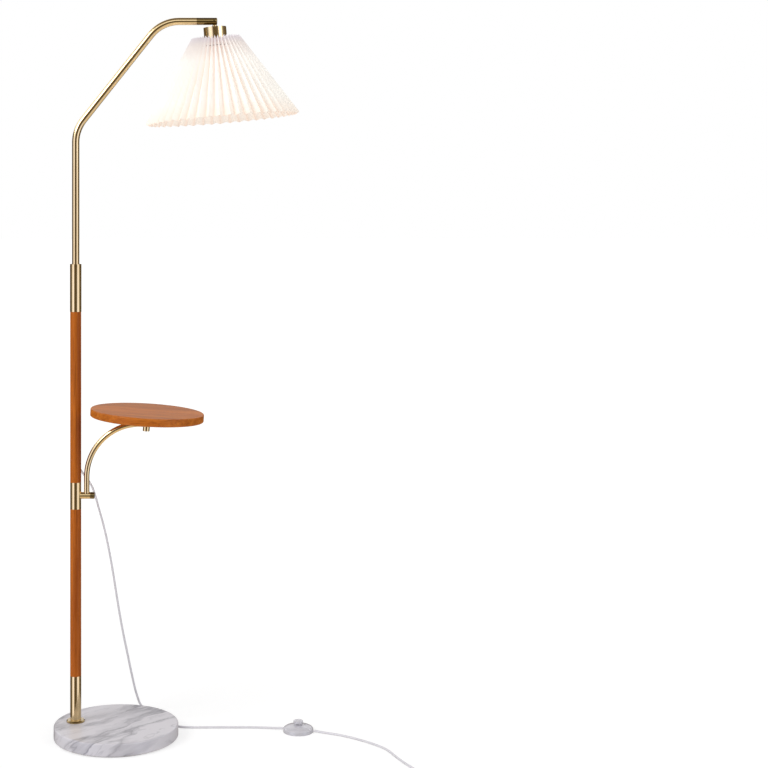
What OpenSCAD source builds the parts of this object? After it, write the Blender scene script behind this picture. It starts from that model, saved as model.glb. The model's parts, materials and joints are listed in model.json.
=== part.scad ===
// Bridge floor lamp: a marble foot, a two-part wooden pole with brass sleeves, a bent brass arm,
// a pleated shade on a head that rolls and tilts, and a round shelf on its own curved arm.
// Millimetres. Origin at the centre of the foot's underside, +Z up, +X towards the shade,
// +Y towards the back.

/* [Base] */
// Diameter of the marble slab
slab_d = 270; // [230:1:340]
// Thickness of the marble slab
slab_h = 28; // [24:1:45]
// Radius of the slab's softened edges
slab_edge_r = 3; // [1:0.5:5]
// Distance of the pole's axis behind the slab's centre, away from the shade
pole_back = 90; // [60:1:92]
// Distance of the pole's axis to the side of the slab's centre
pole_side = 14; // [0:1:25]
// Thickness of the foam pad under the slab
pad_t = 2; // [1:0.5:4]
// Width of bare marble left outside the pad
pad_inset = 7; // [4:0.5:12]
// Diameter of the screw recess in the slab's underside
recess_d = 40; // [34:1:50]
// Depth of that recess
recess_h = 12; // [11:0.5:16]
// Outer diameter of the brass flange on the slab
flange_d = 40; // [34:1:60]
// Height of that flange
flange_h = 4.5; // [3:0.5:8]
// Thread diameter of the screw that holds the pole to the slab
base_screw_d = 10; // [8:1:11]

/* [Pole] */
// Outer diameter of the wooden poles and of the sleeves flush with them
pole_d = 24; // [23:0.5:32]
// Bore of the wooden poles and sleeves, where the steel joiners sit
core_d = 19; // [18:0.5:20]
// Inner passage of the steel joiners
joiner_bore = 12; // [8:0.5:14]
// Length of joiner held in each wooden pole
joiner_grip = 18; // [15:1:20]
// Height of the brass sleeve on the slab
low_sleeve_h = 100; // [70:1:160]
// Length of the lower wooden pole
low_wood_h = 365; // [250:1:500]
// Height of the brass tee sleeve between the poles
tee_h = 58; // [40:1:90]
// Length of the upper wooden pole
up_wood_h = 373; // [320:1:500]
// Height of the brass sleeve that takes the arm
up_sleeve_h = 104; // [90:1:160]
// Outer diameter of that sleeve
up_sleeve_d = 25; // [24.5:0.5:34]
// Passage through the wooden poles
wood_bore = 12; // [8:0.5:15]

/* [Arm] */
// Outer diameter of the bent arm tube
arm_d = 16; // [14:0.5:17]
// Wall of the arm tube
arm_wall = 1.2; // [0.8:0.1:2]
// Length of the arm tube inside its sleeve
arm_seat = 80; // [50:1:85]
// Height of the arm's first corner above its sleeve
arm_rise = 294; // [200:1:400]
// Distance between the arm's two corners
slant_len = 302.4; // [250:0.1:400]
// Lean of the slanted stretch from the vertical
slant_angle = 38.4; // [30:0.1:50]
// Centreline radius of the arm's bends
bend_r = 80; // [50:1:110]
// Distance from the pole's axis to the end of the arm tube
arm_reach = 265; // [250:0.5:400]

/* [Head joint] */
// Length of the fixed collar at the arm's end
collar_len = 11.5; // [8:0.5:20]
// Length of the barrel that rolls about the arm
barrel_len = 33; // [32:0.5:50]
// Distance from the tilt pin to the barrel's far end
barrel_overhang = 6.5; // [6:0.5:8]
// Radius of the barrel's softened far rim
barrel_rim_r = 2; // [0.5:0.5:3]
// Diameter of the spigot that the barrel turns on
roll_d = 10; // [8:0.5:11]
// Length of that spigot
roll_len = 15; // [12:0.5:15]
// Thickness of the tilting tongue
tongue_t = 6; // [4:0.5:7]
// Diameter of the tilt pin
tilt_pin_d = 4; // [3:0.5:5]
// Diameter of the round neck under the tongue
neck_d = 10; // [9:0.5:11]
// Lean of the shade at rest, its foot away from the pole
rest_tilt = 5; // [0:0.5:15]
// Passage for the wires through the head
wire_bore = 5; // [4:0.5:6]

/* [Cup and socket] */
// Outer diameter of the brass cup
cup_d = 50; // [48:0.5:60]
// Height of the cup
cup_h = 32; // [26:0.5:34]
// Wall of the cup
cup_wall = 1.2; // [0.8:0.1:2]
// Depth of the cup's top below the tilt pin
cup_drop = 13; // [12.5:0.5:18]
// Thread diameter of the lamp socket's barrel
socket_d = 38; // [34:0.5:40]
// Length of the lamp socket
socket_len = 50; // [48:0.5:60]
// Outer diameter of the bulb's screw cap
bulb_cap_d = 26; // [24:0.5:28]
// Diameter of the bulb's globe
bulb_d = 60; // [45:1:70]
// Length of the bulb's glass below the socket
bulb_len = 88; // [80:1:110]

/* [Shade] */
// Outer diameter of the shade's top edge
shade_top_d = 106; // [96:1:140]
// Outer diameter of the shade's hem
shade_hem_d = 337; // [280:1:400]
// Height of the shade
shade_h = 177; // [150:1:220]
// Depth of the shade's top edge below the tilt pin
shade_drop = 38; // [34:0.5:44]
// Number of pleats
pleats = 48; // [36:1:60]
// Width of each side of a pleat, from ridge to valley
pleat_side = 13; // [12.5:0.1:15]
// Thickness of the shade's sheet
shade_wall = 0.6; // [0.4:0.1:1]
// Distance from the shade's top edge down to its carrier ring
carrier_row = 38; // [32:1:50]
// Diameter of the carrier's wire
carrier_wire = 2.5; // [2:0.5:4]

/* [Shelf] */
// Diameter of the shelf
shelf_d = 248; // [180:1:250]
// Thickness of the shelf
shelf_t = 17.5; // [16:0.5:28]
// Radius of the shelf's rounded edges
shelf_edge_r = 3; // [1:0.5:6]
// Distance from the pole's axis to the shelf's centre
shelf_reach = 155; // [154:0.5:200]
// Droop of the shelf arm's end and the shelf
shelf_droop = 4; // [0:0.1:5]
// Outer diameter of the shelf arm's tube
shelf_arm_d = 12; // [10:0.5:12.5]
// Wall of the shelf arm's tube
shelf_arm_wall = 1.2; // [0.8:0.1:2]
// Centreline radius of the shelf arm's curve
shelf_bend_r = 116; // [100:1:116]
// Straight height of the shelf arm above its stub
shelf_foot_h = 32.5; // [10:0.5:60]
// Diameter of the shelf's boss and of the tee's stub
boss_d = 15; // [14.5:0.5:18]
// Length of the boss below the shelf
boss_h = 27; // [24:0.5:40]
// Distance from the pole's axis to the shelf arm's foot
foot_reach = 24; // [23.5:0.5:26]
// Distance from the pole's axis to the end of the tee's stub
stub_reach = 32; // [32:0.5:40]
// Length of the clamp knob on the stub's end
knob_len = 9; // [6:0.5:16]
// Height of the stub's axis above the tee sleeve's lower end
stub_rise = 29; // [18:1:32]

/* [Cord and switch] */
// Diameter of the mains cord
cord_d = 5; // [4:0.5:6]
// Length of the tapered strain relief on the pole
relief_len = 22; // [20:1:40]
// Height of the cord's exit above the upper wooden pole's lower end
exit_rise = 25; // [25:1:40]
// Diameter of the foot switch
switch_d = 66; // [60:1:80]
// Height of the foot switch without its button
switch_h = 15.5; // [14:0.5:24]
// Diameter of the foot switch's button
button_d = 21; // [16:0.5:26]
// Diameter of the button's stem, where it goes through the cover
button_stem_d = 13; // [10:0.5:15]
// Height that the button stands proud
button_proud = 9; // [8:0.5:12]
// Travel of the button
button_travel = 2.5; // [1.5:0.5:4]
// Thickness of the plug
plug_t = 18; // [16:0.5:22]
// Width of the plug
plug_w = 25; // [22:0.5:32]
// Length of the plug's body
plug_len = 30; // [24:1:40]
// Width of the strap that ties the coil
tie_w = 8; // [5:0.5:14]

/* [Hidden] */
$fn = 64;
slip = 0.05;          // radial clearance of every round fit
turn_gap = 0.3;       // gap between faces that turn past each other
sheet_t = 1.5;        // thickness of pressed brass ends and lips

pole_xy = [-pole_back, pole_side, 0];
slab_top = pad_t + slab_h;
low_wood_z = slab_top + low_sleeve_h;
tee_z = low_wood_z + low_wood_h;
up_wood_z = tee_z + tee_h;
up_sleeve_z = up_wood_z + up_wood_h;
up_sleeve_top = up_sleeve_z + up_sleeve_h;
joiner_d = core_d - 2 * slip;
exit_z = up_wood_z + exit_rise;
relief_hole_d = cord_d + 3;

screw_head_af = 1.7 * base_screw_d;
screw_head_h = 0.64 * base_screw_d;
washer_t = 2.5;
foot_plug_h = 25;
screw_grip = foot_plug_h - 4;
recess_top = pad_t + recess_h;

arm_foot_z = up_sleeve_top - arm_seat;
arm_corner = [0, up_sleeve_top + arm_rise];
arm_top_turn = 90 - slant_angle;
low_trim = bend_r * tan(slant_angle / 2);
top_trim = bend_r * tan(arm_top_turn / 2);
arm_z = arm_corner[1] + slant_len * cos(slant_angle);
arm_corner_x = slant_len * sin(slant_angle);
bend_steps = 10;
arm_bore_d = arm_d - 2 * arm_wall;

barrel_x = arm_reach + collar_len;
pivot_x = barrel_x + barrel_len - barrel_overhang;
slot_r = arm_d / 2 - sheet_t;
tongue_r = slot_r - 0.5;
slot_w = tongue_t + 2 * turn_gap;
barrel_screw_d = 3;
barrel_screw_x = barrel_x + roll_len - 5;
neck_top = arm_d / 2 + 1.3;
stem_d = neck_d - 0.5;
neck_washer_t = 1.5;
stem_nut_h = 5;
socket_top = cup_drop + sheet_t + stem_nut_h + 0.5;
socket_foot = socket_top + socket_len;
stem_foot = socket_top + 10;
bulb_seat = socket_foot - 25;
hub_top = socket_foot - 14;
hub_t = 2;
ring_nut_h = 8;
cap_wall = 1;

shade_top_r = shade_top_d / 2;
shade_hem_r = shade_hem_d / 2;
hub_r = socket_d / 2 + 3.5;

stub_z = tee_z + stub_rise;
foot_z = stub_z - shelf_arm_d / 2 + 1;
shelf_arc_z = stub_z + boss_d / 2 + shelf_foot_h;
shelf_turn = 90 + shelf_droop;
arm_tip_x = foot_reach + shelf_bend_r * (1 - cos(shelf_turn));
boss_arm_drop = 12.5;       // depth of the arm's axis below the shelf
shelf_stud_d = 8;
shelf_insert_d = 12;
shelf_stud_h = 11;
boss_bore_start = -boss_d / 2 + 1;
shelf_bend_steps = 20;

switch_at = [397, 37, 0];
switch_turn = -15;
switch_base_h = 6;
switch_wall = 2;
switch_screw_d = 3.4;
switch_screw_y = switch_d / 2 - 8;
button_clear = 0.3;

// Hand-chosen route of the cord from the strain relief to the foot switch
drop_route = [
    [-90, 48, 578], [-90, 54, 578], [-89, 62, 576], [-86, 69, 570],
    [-80, 73, 560], [-70, 75, 546], [-61, 76, 530], [-54, 79, 508],
    [-47, 84, 480], [-38, 92, 443], [-28, 101, 392], [-19, 110, 335],
    [-10, 119, 270], [0, 128, 204], [12, 138, 138], [22, 147, 84],
    [31, 154, 44], [41, 158, 18], [54, 158, 5], [70, 153, 2.5],
    [90, 141, 2.5], [109, 118, 2.5], [121, 94, 2.5], [133, 73, 2.5],
    [150, 61, 2.5], [174, 57, 2.5], [215, 57, 2.5], [262, 57, 2.5],
    [310, 56, 2.5], [346, 50.6, 3], [359, 47.2, 4], [365.12, 45.54, 4]
];
// Hand-chosen route from the foot switch to the coil
tail_route = [
    [428.88, 28.46, 4], [435, 26.8, 4], [448, 23, 3], [468, 15, 2.5],
    [494, 1, 2.5], [520, -18, 2.5], [545, -40, 2.5], [566, -62, 2.5],
    [583, -86, 2.5], [594, -112, 2.5], [604, -140, 2.5], [616, -168, 2.5],
    [629, -195, 2.5], [639, -222, 2.6], [644, -246, 3.2], [644.8, -262, 3.4],
    [644.8, -267, 3.4]
];

// The coil beyond the tail: two layers of turns, wound in and then out
tie_t = 0.8;
coil_pitch = cord_d + 0.6;
coil_total = 4;
coil_outer_r = 33.2;
coil_at = [tail_route[len(tail_route) - 1][0] + coil_outer_r, -272];
coil_z = 3.4;
coil_rings = 24;
coil_lift = coil_pitch;

// ---- Shapes that repeat ----

// A straight tube along +Z
module tube(outer_d, inner_d, length) {
    difference() {
        cylinder(d = outer_d, h = length);
        translate([0, 0, -1]) cylinder(d = inner_d, h = length + 2);
    }
}

// A disc along +Z whose two rims are rounded
module round_disc(d, h, edge_r) {
    rotate_extrude() difference() {
        square([d / 2, h]);
        for (z = [0, h]) translate([d / 2, z]) difference() {
            square(2 * edge_r, center = true);
            translate([-edge_r, z == 0 ? edge_r : -edge_r]) circle(edge_r, $fn = 32);
        }
    }
}

// A hexagon nut or head along +Z, with the given width across its flats
module hexagon(across, h) {
    cylinder(d = across / cos(30), h = h, $fn = 6);
}

// The place and direction at the end of a bend from +Z towards +X
module past_bend(r, turn) {
    translate([r * (1 - cos(turn)), 0, r * sin(turn)]) rotate([0, turn, 0]) children();
}

// Centreline of the bent arm in the pole's frame, from its foot in the sleeve to its tip
function arc_line(centre, from_turn, to_turn) = [
    for (i = [0 : bend_steps])
        let (t = from_turn + (to_turn - from_turn) * i / bend_steps)
            [centre[0] - bend_r * cos(t), 0, centre[1] + bend_r * sin(t)]
];
arm_line = concat(
    [[0, 0, arm_foot_z]],
    arc_line([bend_r, arm_corner[1] - low_trim], 0, slant_angle),
    arc_line([
        arm_corner_x - top_trim * sin(slant_angle) + bend_r * cos(slant_angle),
        arm_z - top_trim * cos(slant_angle) - bend_r * sin(slant_angle)
    ], slant_angle, 90),
    [[arm_reach, 0, arm_z]]
);

module on_pole(z = 0) {
    translate([pole_xy[0], pole_xy[1], z]) children();
}

// The arm's axis at a distance from the pole, pointing +X
module on_arm(x) {
    on_pole(arm_z) translate([x, 0, 0]) rotate([0, 90, 0]) children();
}

// The head's own frame: origin on the tilt pin, -Z down the shade's axis
module in_head() {
    on_pole(arm_z) translate([pivot_x, 0, 0]) rotate([0, -rest_tilt, 0]) children();
}

// The shelf's own frame: origin on the arm's axis under the shelf's centre
module in_shelf() {
    on_pole(shelf_arc_z)
        translate([foot_reach, 0, 0]) past_bend(shelf_bend_r, shelf_turn)
            translate([0, 0, (shelf_reach - arm_tip_x) / sin(shelf_turn)]) rotate([0, -90, 0])
                children();
}

module in_switch() {
    translate(switch_at) rotate([0, 0, switch_turn]) children();
}

// ---- Foot ----

module floor_pad() {
    color("dimgray") difference() {
        cylinder(d = slab_d - 2 * pad_inset, h = pad_t);
        on_pole(-1) cylinder(d = recess_d, h = pad_t + 2);
    }
}

module base_slab() {
    color("gainsboro") difference() {
        translate([0, 0, pad_t]) round_disc(slab_d, slab_h, slab_edge_r);
        on_pole(pad_t - 1) cylinder(d = recess_d, h = recess_h + 1);
        on_pole(0) cylinder(d = base_screw_d + 1, h = slab_top + 1);
    }
}

module base_washer() {
    color("silver") on_pole(recess_top - washer_t)
        tube(recess_d - 8, base_screw_d + 0.5, washer_t);
}

module base_screw() {
    color("silver") on_pole(recess_top - washer_t - screw_head_h) {
        hexagon(screw_head_af, screw_head_h);
        cylinder(d = base_screw_d, h = screw_head_h + washer_t + slab_top - recess_top + screw_grip);
    }
}

module base_flange() {
    color("darkgoldenrod") on_pole(slab_top) difference() {
        rotate_extrude() polygon([
            [0, 0], [flange_d / 2, 0], [flange_d / 2, flange_h / 2],
            [flange_d / 2 - flange_h / 2, flange_h], [0, flange_h]
        ]);
        translate([0, 0, -1]) cylinder(d = pole_d + 2 * slip, h = flange_h + 2);
    }
}

module foot_plug() {
    color("silver") on_pole(slab_top)
        tube(joiner_d, base_screw_d + 2 * slip, foot_plug_h);
}

// ---- Pole ----

module lower_sleeve() {
    color("darkgoldenrod") on_pole(slab_top) tube(pole_d, core_d, low_sleeve_h);
}

module joiner(below_z, above_z) {
    color("silver") on_pole(below_z) tube(joiner_d, joiner_bore, above_z - below_z);
}

module lower_joiner() {
    joiner(slab_top + foot_plug_h, low_wood_z + joiner_grip);
}

module wooden_pole(z, length) {
    on_pole(z) difference() {
        tube(pole_d, wood_bore, length);
        for (end = [-1, length - joiner_grip])
            translate([0, 0, end]) cylinder(d = core_d, h = joiner_grip + 1);
    }
}

module lower_pole() {
    color("sienna") wooden_pole(low_wood_z, low_wood_h);
}

module tee_joiner() {
    joiner(tee_z - joiner_grip, up_wood_z + joiner_grip);
}

module tee_sleeve() {
    color("darkgoldenrod") on_pole(tee_z) difference() {
        union() {
            cylinder(d = pole_d, h = tee_h);
            translate([0, 0, stub_rise]) rotate([0, 90, 0]) cylinder(d = boss_d, h = stub_reach);
        }
        translate([0, 0, -1]) cylinder(d = core_d, h = tee_h + 2);
        translate([foot_reach, 0, foot_z - tee_z])
            cylinder(d = shelf_arm_d + 2 * slip, h = boss_d);
    }
}

module stub_knob() {
    color("goldenrod") on_pole(stub_z) translate([stub_reach, 0, 0]) rotate([0, 90, 0])
        round_disc(boss_d, knob_len, 1);
}

module upper_pole() {
    color("sienna") difference() {
        wooden_pole(up_wood_z, up_wood_h);
        on_pole(exit_z) rotate([-90, 0, 0]) cylinder(d = relief_hole_d, h = pole_d);
    }
}

module upper_joiner() {
    joiner(up_sleeve_z - joiner_grip, arm_foot_z - sheet_t);
}

module upper_sleeve() {
    color("darkgoldenrod") on_pole(up_sleeve_z) difference() {
        cylinder(d = up_sleeve_d, h = up_sleeve_h);
        translate([0, 0, -1]) cylinder(d = core_d, h = up_sleeve_h + 1 - sheet_t);
        cylinder(d = arm_d + 2 * slip, h = up_sleeve_h + 1);
        sleeve_screw_hole();
    }
}

// The bush that centres the arm tube in its sleeve
module arm_bush() {
    color("silver") on_pole(arm_foot_z - sheet_t) difference() {
        tube(joiner_d, arm_d + 2 * slip, arm_seat);
        translate([0, 0, up_sleeve_z - arm_foot_z + sheet_t]) sleeve_screw_hole();
    }
}

module sleeve_screw_hole() {
    translate([0, 0, up_sleeve_h - 30]) rotate([-90, 0, 0])
        cylinder(d = 4 + 2 * slip, h = up_sleeve_d);
}

module sleeve_screw() {
    color("dimgray") on_pole(up_sleeve_top - 30) translate([0, arm_d / 2 + slip, 0])
        rotate([-90, 0, 0]) cylinder(d = 4, h = up_sleeve_d / 2 - arm_d / 2 - 0.5);
}

// ---- Arm ----

module arm_tube() {
    color("darkgoldenrod") on_pole() swept_pipe(arm_line, arm_d, arm_bore_d, 32);
}

// The wires inside the pole and the arm
module inner_lead() {
    turn_in = [[0, pole_d / 2 - 4, 0], [0, 4, 0], [0, 1, 1.5], [0, 0, 5]];
    color("whitesmoke") on_pole() swept_tube(
        concat([for (p = turn_in) [p[0], p[1], exit_z + p[2]]], arm_line), cord_d - 1, 8);
}

module head_collar() {
    color("darkgoldenrod") difference() {
        union() {
            on_arm(arm_reach) cylinder(d = arm_d, h = collar_len);
            on_arm(arm_reach - 12) cylinder(d = arm_bore_d - 2 * slip, h = 12);
            on_arm(barrel_x) cylinder(d = roll_d, h = roll_len);
        }
        on_arm(arm_reach - 13) cylinder(d = wire_bore + 1, h = collar_len + roll_len + 20);
        on_arm(barrel_screw_x - barrel_screw_d / 2 - turn_gap)
            tube(arm_d, roll_d - 2, barrel_screw_d + 2 * turn_gap);
    }
}

// ---- Rolling barrel ----

// Half section of the barrel, its far rim softened by an arc
barrel_section = let (r = arm_d / 2 - barrel_rim_r, h = barrel_len - turn_gap - barrel_rim_r)
    concat(
        [[0, 0], [arm_d / 2, 0]],
        [for (a = [0 : 15 : 90]) [r + barrel_rim_r * cos(a), h + barrel_rim_r * sin(a)]],
        [[0, h + barrel_rim_r]]
    );

module head_barrel() {
    color("darkgoldenrod") difference() {
        on_arm(barrel_x + turn_gap) rotate_extrude() polygon(barrel_section);
        on_arm(barrel_x) cylinder(d = roll_d + 2 * slip, h = roll_len + 0.5);
        on_arm(barrel_x) cylinder(d = wire_bore, h = barrel_len - slot_r);
        on_pole(arm_z) translate([pivot_x, 0, 0]) {
            translate([-slot_r, -slot_w / 2, -arm_d]) cube([slot_r + arm_d, slot_w, arm_d + slot_r]);
            rotate([90, 0, 0]) translate([0, 0, -arm_d]) cylinder(d = tilt_pin_d, h = 2 * arm_d);
        }
        on_pole(arm_z) translate([barrel_screw_x, 0, 0]) rotate([-90, 0, 0])
            cylinder(d = barrel_screw_d, h = arm_d);
    }
}

module barrel_screw() {
    color("dimgray") on_pole(arm_z) translate([barrel_screw_x, roll_d / 2 - 1 + turn_gap, 0])
        rotate([-90, 0, 0]) cylinder(d = barrel_screw_d, h = arm_d / 2 - roll_d / 2);
}

module tilt_pin() {
    color("silver") on_pole(arm_z) translate([pivot_x, 0, 0]) rotate([90, 0, 0])
        cylinder(d = tilt_pin_d, h = 1.9 * slot_r, center = true);
}

// ---- Tilting head ----

module tilt_tongue() {
    color("darkgoldenrod") in_head() difference() {
        union() {
            rotate([90, 0, 0]) cylinder(r = tongue_r, h = tongue_t, center = true);
            translate([-neck_d / 2 + 0.5, -tongue_t / 2, -neck_top - 1])
                cube([neck_d - 1, tongue_t, neck_top + 1]);
            translate([0, 0, -cup_drop]) cylinder(d = neck_d, h = cup_drop - neck_top);
            translate([0, 0, -stem_foot]) cylinder(d = stem_d, h = stem_foot - neck_top);
        }
        rotate([90, 0, 0]) cylinder(d = tilt_pin_d + 2 * slip, h = arm_d, center = true);
        translate([0, 0, -stem_foot - 1]) cylinder(d = wire_bore, h = stem_foot - tilt_pin_d);
    }
}

module neck_washer() {
    color("goldenrod") in_head() translate([0, 0, -cup_drop])
        tube(neck_d + 4, neck_d + 2 * slip, neck_washer_t);
}

module socket_cup() {
    color("darkgoldenrod") in_head() translate([0, 0, -cup_drop - cup_h]) difference() {
        cylinder(d = cup_d, h = cup_h);
        translate([0, 0, -1]) cylinder(d = cup_d - 2 * cup_wall, h = cup_h + 1 - sheet_t);
        cylinder(d = stem_d + 2 * slip, h = cup_h + 1);
    }
}

module stem_nut() {
    color("silver") in_head() translate([0, 0, -cup_drop - sheet_t - stem_nut_h]) difference() {
        hexagon(stem_d + 5, stem_nut_h);
        translate([0, 0, -1]) cylinder(d = stem_d + 2 * slip, h = stem_nut_h + 2);
    }
}

module lamp_socket() {
    color("ivory") in_head() translate([0, 0, -socket_foot]) difference() {
        union() {
            cylinder(d = socket_d, h = socket_len);
            translate([0, 0, socket_foot - hub_top]) cylinder(r = hub_r - 1, h = 2);
        }
        translate([0, 0, -1]) cylinder(d = bulb_cap_d + 2 * slip, h = socket_foot - bulb_seat + 1);
        translate([0, 0, socket_foot - stem_foot])
            cylinder(d = stem_d + 2 * slip, h = socket_len);
        translate([0, 0, -1]) cylinder(d = wire_bore, h = socket_len);
    }
}

// Valley radius, from the width of a pleat's side and the pleats' number
function valley_r(ridge) =
    ridge * cos(180 / pleats) - sqrt(pow(pleat_side, 2) - pow(ridge * sin(180 / pleats), 2));
// Radial thickness that gives the sheet its wall along the fold's sides
function radial_wall(ridge) = shade_wall * pleat_side / (ridge * sin(180 / pleats));

carrier_depth = shade_drop + carrier_row;
carrier_r = valley_at(carrier_depth - carrier_wire / 2) - carrier_wire / 2 - 0.2;
// Valley radius of the sheet's inner face at a depth, between the two edges
function valley_at(depth) = let (
    share = (depth - shade_drop) / shade_h,
    top = valley_r(shade_top_r) - radial_wall(shade_top_r),
    hem = valley_r(shade_hem_r) - radial_wall(shade_hem_r)
) top + (hem - top) * share;

module shade_carrier() {
    spoke = [carrier_r - hub_r + 0.5, 0, carrier_depth - hub_top - hub_t / 2];
    color("silver") in_head() {
        translate([0, 0, -carrier_depth]) rotate_extrude()
            translate([carrier_r, 0]) circle(d = carrier_wire);
        translate([0, 0, -hub_top - hub_t]) tube(2 * hub_r, socket_d + 2 * slip, hub_t);
        for (turn = [30, 150, 270]) rotate([0, 0, turn])
            translate([hub_r - 0.5, 0, -hub_top - hub_t / 2])
                rotate([0, 90 + atan2(spoke[2], spoke[0]), 0])
                    cylinder(d = carrier_wire - 0.5, h = norm(spoke));
    }
}

module carrier_ring_nut() {
    color("ivory") in_head() translate([0, 0, -hub_top - hub_t - ring_nut_h])
        tube(2 * hub_r - 2, socket_d + 2 * slip, ring_nut_h);
}

// One edge of the folded sheet: ridges and valleys by turns, drawn in by a radial wall
function fold(ridge, inset, z) = [
    for (i = [0 : 2 * pleats - 1])
        let (r = (i % 2 == 0 ? ridge : valley_r(ridge)) - inset, a = 180 * i / pleats)
            [r * cos(a), r * sin(a), z]
];

module shade() {
    n = 2 * pleats;
    rings = [
        fold(shade_top_r, 0, -shade_drop),
        fold(shade_hem_r, 0, -shade_drop - shade_h),
        fold(shade_hem_r, radial_wall(shade_hem_r), -shade_drop - shade_h),
        fold(shade_top_r, radial_wall(shade_top_r), -shade_drop)
    ];
    points = [for (edge = rings) each edge];
    faces = [
        for (k = [0 : 3], i = [0 : n - 1])
            let (a = k * n + i, b = k * n + (i + 1) % n,
                 c = ((k + 1) % 4) * n + (i + 1) % n, d = ((k + 1) % 4) * n + i)
                each [[a, b, c], [a, c, d]]
    ];
    color("ivory") in_head() polyhedron(points, faces);
}

module bulb_cap() {
    color("silver") in_head() translate([0, 0, -socket_foot])
        difference() {
            cylinder(d = bulb_cap_d, h = socket_foot - bulb_seat - 0.5);
            translate([0, 0, -1])
                cylinder(d = bulb_cap_d - 2 * cap_wall, h = socket_foot - bulb_seat - 3);
        }
}

// Outline of the bulb's glass: a straight neck held in the cap, then a globe that it widens
// to by a cosine
neck_r = bulb_cap_d / 2 - cap_wall - slip;
neck_end = 0.5;
function bulb_line(inset) = [
    [neck_r - inset, 4],
    for (u = [0 : 1 / 12 : 1])
        [neck_r + (bulb_d / 2 - neck_r) * (1 - cos(180 * u)) / 2 - inset,
         -neck_end - u * (bulb_len - bulb_d / 2 - neck_end)],
    for (a = [7.5 : 7.5 : 82.5])
        [(bulb_d / 2 - inset) * cos(a), -(bulb_len - bulb_d / 2) - (bulb_d / 2 - inset) * sin(a)],
    [0, -bulb_len + inset]
];

module bulb_glass() {
    outer = bulb_line(0);
    inner = bulb_line(1);
    last = len(outer) - 1;
    color("white") in_head() translate([0, 0, -socket_foot]) rotate_extrude()
        polygon(concat(outer, [for (i = [0 : last]) inner[last - i]]));
}

// ---- Shelf ----

// Centreline of the shelf's arm from its foot in the stub, in the pole's frame
shelf_tip = (shelf_reach - arm_tip_x) / sin(shelf_turn) + boss_bore_start + 3;
shelf_line = concat(
    [[foot_reach, 0, foot_z + turn_gap]],
    [for (i = [0 : shelf_bend_steps]) let (t = shelf_turn * i / shelf_bend_steps)
        [foot_reach + shelf_bend_r * (1 - cos(t)), 0, shelf_arc_z + shelf_bend_r * sin(t)]],
    [[
        arm_tip_x + shelf_tip * sin(shelf_turn), 0,
        shelf_arc_z + shelf_bend_r * sin(shelf_turn) + shelf_tip * cos(shelf_turn)
    ]]
);

module shelf_arm() {
    color("darkgoldenrod")
        on_pole() swept_pipe(shelf_line, shelf_arm_d, shelf_arm_d - 2 * shelf_arm_wall, 32);
}

module shelf_boss() {
    color("goldenrod") in_shelf() difference() {
        union() {
            translate([0, 0, boss_arm_drop - boss_h]) cylinder(d = boss_d, h = boss_h);
            translate([0, 0, boss_arm_drop]) cylinder(d = shelf_stud_d, h = shelf_stud_h - 1);
        }
        translate([-boss_d, 0, 0]) rotate([0, 90, 0])
            cylinder(d = shelf_arm_d + 2 * slip, h = boss_d + boss_bore_start + 3.2);
    }
}

module shelf_insert() {
    color("silver") in_shelf() translate([0, 0, boss_arm_drop])
        tube(shelf_insert_d, shelf_stud_d + 2 * slip, shelf_stud_h);
}

module shelf_top() {
    color("peru") in_shelf() translate([0, 0, boss_arm_drop]) difference() {
        round_disc(shelf_d, shelf_t, shelf_edge_r);
        translate([0, 0, -1]) cylinder(d = shelf_insert_d + 2 * slip, h = shelf_stud_h + 1.2);
    }
}

// ---- Cord ----

function unit(v) = v / norm(v);
function direction(p, i) = unit(p[min(i + 1, len(p) - 1)] - p[max(i - 1, 0)]);
function square_to(n, t) = unit(n - (n * t) * t);
// Side vectors carried along a path without twist
function sides_along(p) = [
    for (i = 0, n = square_to([0, 0.3, 1], direction(p, 0)); i < len(p);
         i = i + 1, n = square_to(n, direction(p, min(i, len(p) - 1)))) n
];

// One unbroken tube swept along points, with a flat cap at each end
module swept_tube(p, d, sides) {
    up = sides_along(p);
    count = len(p);
    points = [
        for (i = [0 : count - 1])
            let (t = direction(p, i), across = cross(t, up[i]))
                for (k = [0 : sides - 1])
                    let (a = 360 * k / sides)
                        p[i] + d / 2 * (cos(a) * up[i] + sin(a) * across)
    ];
    walls = [
        for (i = [0 : count - 2], k = [0 : sides - 1])
            let (a = i * sides + k, b = i * sides + (k + 1) % sides)
                each [[a, a + sides, b], [b, a + sides, b + sides]]
    ];
    foot = [for (k = [1 : sides - 2]) [0, k, k + 1]];
    far = (count - 1) * sides;
    head = [for (k = [1 : sides - 2]) [far, far + k + 1, far + k]];
    polyhedron(points, concat(walls, foot, head));
}

// A pipe swept the same way, open at both ends
module swept_pipe(p, outer_d, inner_d, sides) {
    up = sides_along(p);
    count = len(p);
    lap = count * sides;
    points = [
        for (d = [outer_d, inner_d], i = [0 : count - 1])
            let (t = direction(p, i), across = cross(t, up[i]))
                for (k = [0 : sides - 1])
                    let (a = 360 * k / sides)
                        p[i] + d / 2 * (cos(a) * up[i] + sin(a) * across)
    ];
    walls = [
        for (i = [0 : count - 2], k = [0 : sides - 1])
            let (a = i * sides + k, b = i * sides + (k + 1) % sides)
                each [
                    [a, a + sides, b], [b, a + sides, b + sides],
                    [lap + a, lap + b, lap + a + sides], [lap + b, lap + b + sides, lap + a + sides]
                ]
    ];
    far = (count - 1) * sides;
    rims = [
        for (k = [0 : sides - 1]) let (m = (k + 1) % sides)
            each [
                [k, m, lap + k], [m, lap + m, lap + k],
                [far + k, lap + far + k, far + m], [far + m, lap + far + k, lap + far + m]
            ]
    ];
    polyhedron(points, concat(walls, rims));
}

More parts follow.
